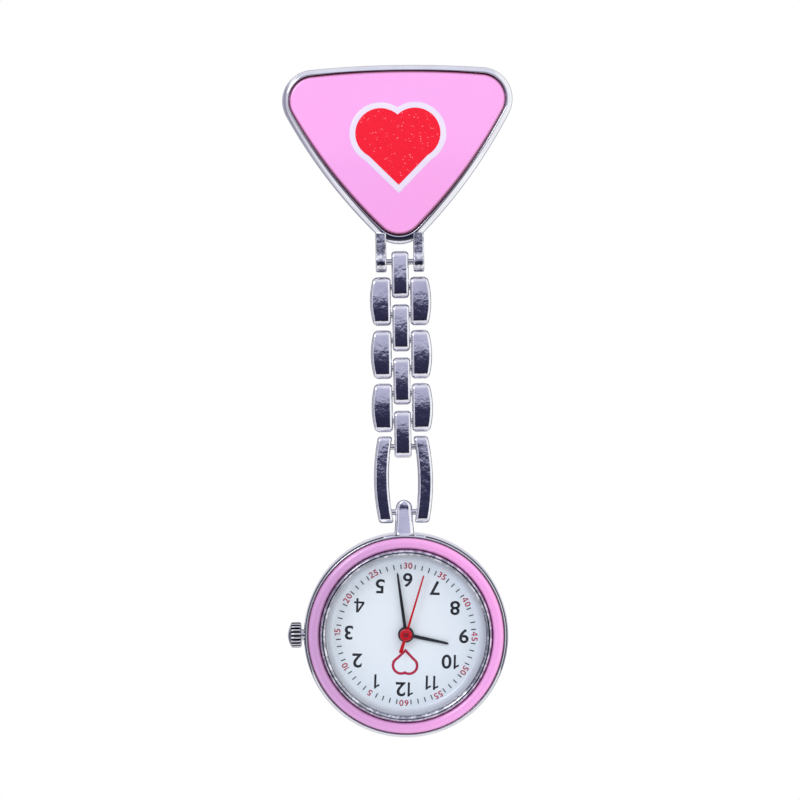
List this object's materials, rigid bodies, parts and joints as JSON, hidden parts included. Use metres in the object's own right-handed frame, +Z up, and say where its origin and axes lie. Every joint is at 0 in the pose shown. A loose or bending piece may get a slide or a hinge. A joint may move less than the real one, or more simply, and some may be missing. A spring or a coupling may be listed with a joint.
{
  "type": "nurse fob watch",
  "caption": "Fob watch: triangular pin brooch with a domed plate and heart, a jointed link chain, and a round quartz watch hung upside down.",
  "frame": {"origin": "on the axis of the brooch's closed needle, halfway along its straight length", "axes": "+Z up, towards the top of the brooch; -Y towards the dial side, the front; +X along the needle from its hinge to its point, which is to the right as seen from the front"},
  "size_m": [0.0321, 0.0081, 0.0921],
  "materials": {
    "chrome": "polished",
    "pin_steel": "satin",
    "caseback_steel": "circular brushed",
    "pink_plastic": "gloss",
    "white_print": "gloss",
    "red_print": "gloss",
    "crystal": "polished",
    "flange": "satin silver",
    "dial_white": "matt",
    "hand_black": "gloss",
    "hand_red": "gloss",
    "gasket_rubber": "matt",
    "holder_plastic": "matt",
    "movement_brass": "satin",
    "movement_steel": "satin",
    "board_green": "matt",
    "chip_black": "matt",
    "coil_copper": "wound wire",
    "battery_steel": "satin"
  },
  "bodies": {
    "brooch": {"brooch_frame": "chrome", "brooch_insert": "pink_plastic", "emblem_plate": "white_print", "emblem_heart": "red_print", "pin_base": "pin_steel", "hinge_rivet": "pin_steel", "catch_ring": "pin_steel", "clevis_pin": "pin_steel"},
    "needle": {"pin_stem": "pin_steel"},
    "lock": {"catch_lock": "pin_steel"},
    "centre_1": {"centre_link_1": "chrome"},
    "outer_1": {"outer_link_1_left": "chrome", "outer_link_1_right": "chrome", "link_pins_1": "pin_steel"},
    "centre_2": {"centre_link_2": "chrome"},
    "outer_2": {"outer_link_2_left": "chrome", "outer_link_2_right": "chrome", "link_pins_2": "pin_steel"},
    "centre_3": {"centre_link_3": "chrome"},
    "outer_3": {"outer_link_3_left": "chrome", "outer_link_3_right": "chrome", "link_pins_3": "pin_steel"},
    "centre_4": {"centre_link_4": "chrome"},
    "end_link": {"end_link_left": "chrome", "end_link_right": "chrome", "end_link_pins": "pin_steel"},
    "watch": {"case": "chrome", "bezel_inlay": "pink_plastic", "crystal_bezel": "chrome", "crystal": "crystal", "crystal_gasket": "gasket_rubber", "dial_flange": "flange", "dial": "dial_white", "caseback": "caseback_steel", "caseback_gasket": "gasket_rubber", "crown_tube": "pin_steel", "movement_holder": "holder_plastic", "main_plate": "movement_brass", "train_bridge": "movement_steel", "circuit_board": "board_green", "ic_chip": "chip_black", "quartz": "movement_steel", "stator": "movement_steel", "coil": "coil_copper", "battery": "battery_steel", "battery_clamp": "movement_brass", "bridge_screws": "movement_steel"},
    "minute": {"minute_hand": "hand_black", "centre_wheel": "movement_brass"},
    "hour": {"hour_hand": "hand_black", "hour_wheel": "movement_brass"},
    "second": {"second_hand": "hand_red", "fourth_wheel": "movement_brass"},
    "third": {"third_wheel": "movement_brass"},
    "fifth": {"fifth_wheel": "movement_brass"},
    "rotor": {"rotor": "movement_steel"},
    "minute_works": {"minute_wheel": "movement_brass"},
    "clutch": {"clutch_wheel": "pin_steel"},
    "crown": {"crown": "chrome", "stem": "pin_steel"}
  },
  "joints": [
    {"name": "needle_open", "type": "hinge", "parent": "brooch", "child": "needle", "pos_m": [-0.0108, 0, 0], "axis": [0, 0, 1], "range_deg": [0, 60]},
    {"name": "lock_turn", "type": "hinge", "parent": "brooch", "child": "lock", "pos_m": [0.01125, 0, 0], "axis": [-1, 0, 0], "range_deg": [0, 150]},
    {"name": "brooch_hinge", "type": "hinge", "parent": "brooch", "child": "centre_1", "pos_m": [0, -0.0034, -0.02024], "axis": [1, 0, 0], "range_deg": [-80, 80]},
    {"name": "chain_hinge_1", "type": "hinge", "parent": "centre_1", "child": "outer_1", "pos_m": [0, -0.0034, -0.02374], "axis": [-1, 0, 0], "range_deg": [-60, 60]},
    {"name": "chain_hinge_2", "type": "hinge", "parent": "outer_1", "child": "centre_2", "pos_m": [0, -0.0034, -0.02754], "axis": [1, 0, 0], "range_deg": [-60, 60]},
    {"name": "chain_hinge_3", "type": "hinge", "parent": "centre_2", "child": "outer_2", "pos_m": [0, -0.0034, -0.03104], "axis": [-1, 0, 0], "range_deg": [-60, 60]},
    {"name": "chain_hinge_4", "type": "hinge", "parent": "outer_2", "child": "centre_3", "pos_m": [0, -0.0034, -0.03484], "axis": [1, 0, 0], "range_deg": [-60, 60]},
    {"name": "chain_hinge_5", "type": "hinge", "parent": "centre_3", "child": "outer_3", "pos_m": [0, -0.0034, -0.03834], "axis": [-1, 0, 0], "range_deg": [-60, 60]},
    {"name": "chain_hinge_6", "type": "hinge", "parent": "outer_3", "child": "centre_4", "pos_m": [0, -0.0034, -0.04214], "axis": [1, 0, 0], "range_deg": [-60, 60]},
    {"name": "chain_hinge_7", "type": "hinge", "parent": "centre_4", "child": "end_link", "pos_m": [0, -0.0034, -0.04564], "axis": [-1, 0, 0], "range_deg": [-60, 60]},
    {"name": "bow_hinge", "type": "hinge", "parent": "end_link", "child": "watch", "pos_m": [0, -0.0034, -0.05459], "axis": [1, 0, 0], "range_deg": [-80, 80]},
    {"name": "minute_turn", "type": "hinge", "parent": "watch", "child": "minute", "pos_m": [0, -0.0034, -0.07137], "axis": [0, 1, 0], "continuous": true},
    {"name": "hour_turn", "type": "hinge", "parent": "watch", "child": "hour", "pos_m": [0, -0.0034, -0.07137], "axis": [0, 1, 0], "continuous": true},
    {"name": "second_turn", "type": "hinge", "parent": "watch", "child": "second", "pos_m": [0, -0.0034, -0.07137], "axis": [0, 1, 0], "continuous": true},
    {"name": "third_turn", "type": "hinge", "parent": "watch", "child": "third", "pos_m": [0, -0.0034, -0.07389], "axis": [0, 1, 0], "continuous": true},
    {"name": "fifth_turn", "type": "hinge", "parent": "watch", "child": "fifth", "pos_m": [0.00252, -0.0034, -0.07137], "axis": [0, 1, 0], "continuous": true},
    {"name": "rotor_turn", "type": "hinge", "parent": "watch", "child": "rotor", "pos_m": [0.00436, -0.0034, -0.07204], "axis": [0, 1, 0], "continuous": true},
    {"name": "minute_works_turn", "type": "hinge", "parent": "watch", "child": "minute_works", "pos_m": [-0.00153, -0.0034, -0.0729], "axis": [0, 1, 0], "continuous": true},
    {"name": "crown_turn", "type": "hinge", "parent": "watch", "child": "clutch", "pos_m": [-0.004, -0.00145, -0.07137], "axis": [-1, 0, 0], "continuous": true},
    {"name": "crown_pull", "type": "slide", "parent": "clutch", "child": "crown", "axis": [-1, 0, 0], "range_m": [0, 0.0009]}
  ],
  "couplings": [
    {"joint": "hour_turn", "follows": "minute_turn", "ratio": 0.083333},
    {"joint": "second_turn", "follows": "minute_turn", "ratio": 60},
    {"joint": "third_turn", "follows": "minute_turn", "ratio": -8},
    {"joint": "fifth_turn", "follows": "minute_turn", "ratio": -300},
    {"joint": "rotor_turn", "follows": "minute_turn", "ratio": 1800},
    {"joint": "minute_works_turn", "follows": "minute_turn", "ratio": -0.33333}
  ]
}
